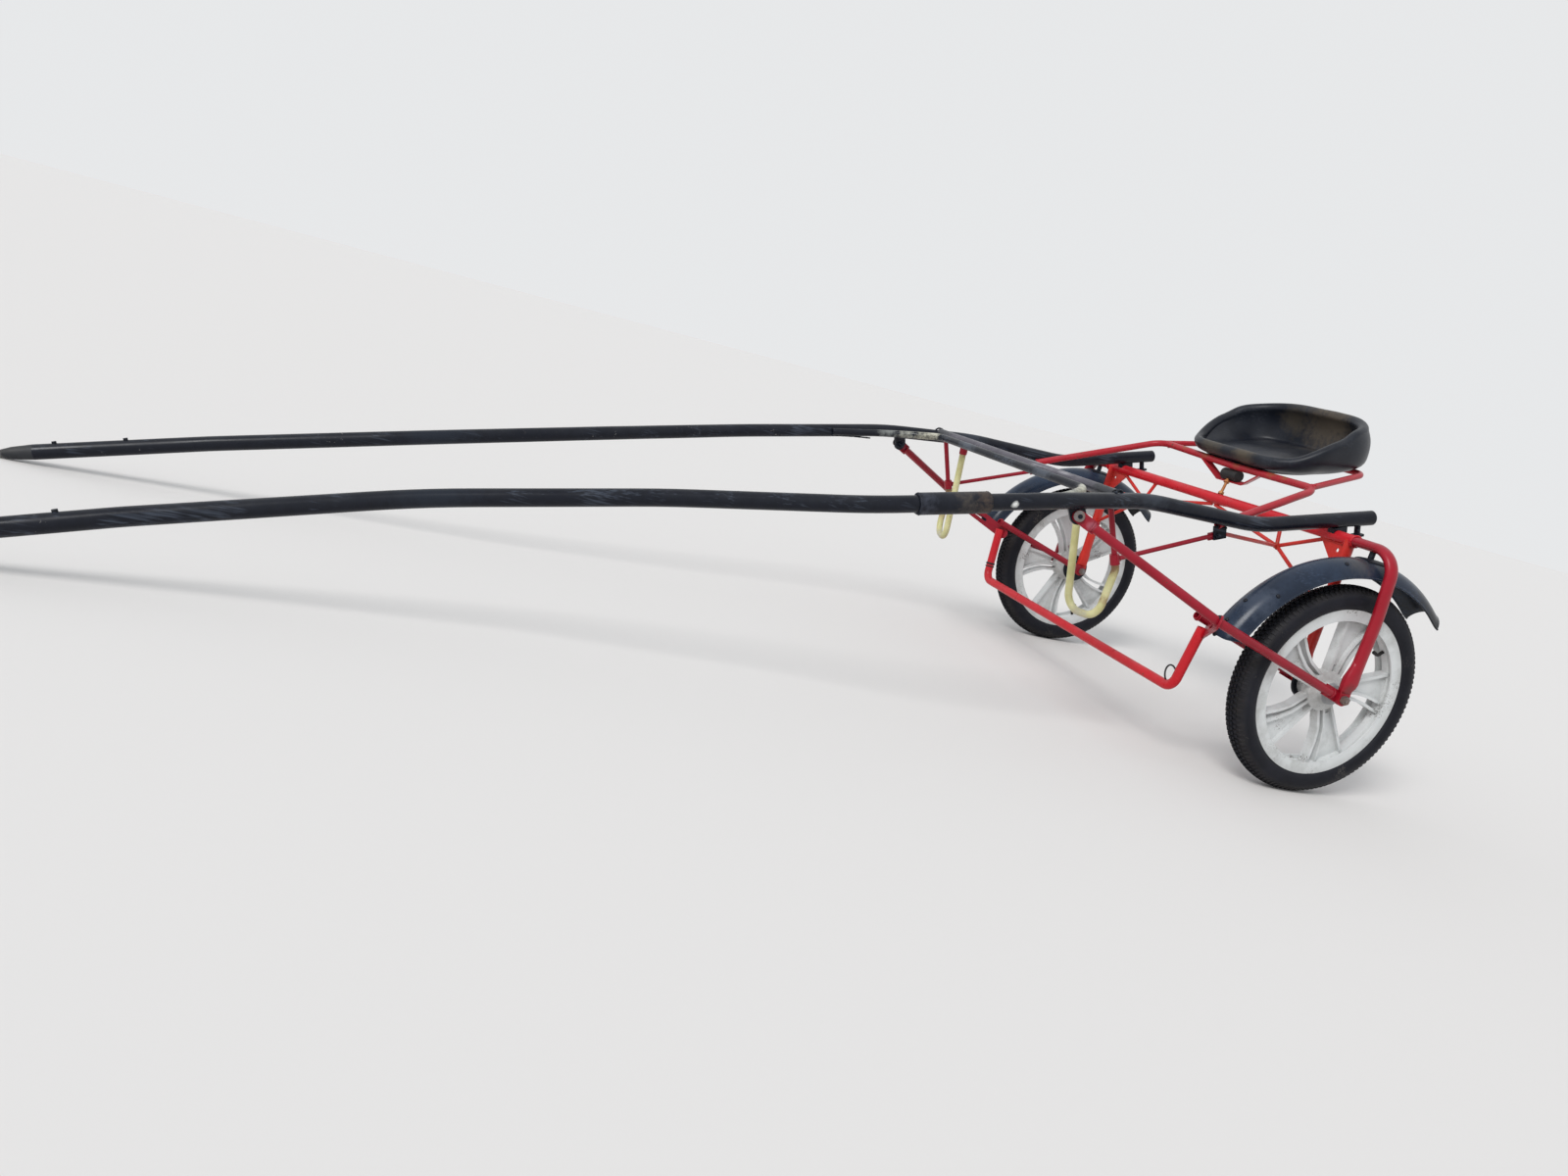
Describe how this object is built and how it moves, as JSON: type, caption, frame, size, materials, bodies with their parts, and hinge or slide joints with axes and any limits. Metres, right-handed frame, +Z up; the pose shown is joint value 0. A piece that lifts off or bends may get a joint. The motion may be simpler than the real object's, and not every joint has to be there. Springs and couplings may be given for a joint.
{
  "type": "racing sulky",
  "caption": "Two-wheeled sulky with a tube frame, long shafts, bucket seat, stirrups, foot bar, mudguards and small spoked wheels.",
  "frame": {"origin": "middle of the bounding box, on the floor, parked with the shaft tips on the floor", "axes": "+X forward along the shafts, +Y to the left, +Z up"},
  "size_m": [3.2925, 1.294, 0.9295],
  "materials": {
    "red_paint": "gloss paint, chipped, with some rust",
    "black_paint": "gloss paint, scuffed",
    "worn_bar": "paint worn to bare steel",
    "hose": "pale yellow hose",
    "black_plastic": "satin",
    "steel": "dull, rusty",
    "rubber": "matt",
    "seat_plastic": "satin, faded",
    "white_wheel": "satin, dirty",
    "tyre": "matt, dirty",
    "black_metal": "satin"
  },
  "bodies": {
    "frame": {"shaft_left_rear": "black_paint", "shaft_left_front": "black_paint", "shaft_right": "black_paint", "shaft_sleeve": "black_paint", "crossbar": "worn_bar", "bow": "black_paint", "axle_beam": "red_paint", "foot_bar": "red_paint", "seat_frame": "red_paint", "seat_hoop": "red_paint", "seat_bracket": "red_paint", "seat_bush": "rubber", "seat_bolt": "steel", "seat": "seat_plastic", "outer_leg_left": "red_paint", "outer_leg_right": "red_paint", "inner_leg_left": "red_paint", "inner_leg_right": "red_paint", "brace_left": "red_paint", "brace_right": "red_paint", "inner_brace_left": "red_paint", "inner_brace_right": "red_paint", "foot_strap_left": "red_paint", "foot_strap_right": "red_paint", "front_lug_left": "black_paint", "front_lug_right": "black_paint", "mid_lug_left": "black_paint", "mid_lug_right": "black_paint", "rear_lug_left": "black_paint", "rear_lug_right": "black_paint", "truss_left": "red_paint", "truss_right": "red_paint", "stirrup_strut_left": "red_paint", "stirrup_strut_right": "red_paint", "stirrup_loop_left": "hose", "stirrup_loop_right": "hose", "stirrup_clamp_left": "red_paint", "stirrup_clamp_right": "red_paint", "stirrup_stay_left": "red_paint", "stirrup_stay_right": "red_paint", "tip_left": "black_plastic", "tip_right": "black_plastic", "mudguard_left": "black_plastic", "mudguard_right": "black_plastic", "axle_left": "steel", "axle_right": "steel", "guard_stay_left": "black_metal", "guard_stay_right": "black_metal"},
    "wheel_assembly_left": {"wheel_left": "white_wheel", "tyre_left": "tyre", "hub_cap_left": "black_metal", "valve_left": "rubber"},
    "wheel_assembly_right": {"wheel_right": "white_wheel", "tyre_right": "tyre", "hub_cap_right": "black_metal", "valve_right": "rubber"}
  },
  "joints": [
    {"name": "wheel_spin_left", "type": "hinge", "parent": "frame", "child": "wheel_assembly_left", "pos_m": [-1.33575, 0.567, 0.26], "axis": [0, 1, 0], "continuous": true},
    {"name": "wheel_spin_right", "type": "hinge", "parent": "frame", "child": "wheel_assembly_right", "pos_m": [-1.33575, -0.567, 0.26], "axis": [0, 1, 0], "continuous": true}
  ]
}
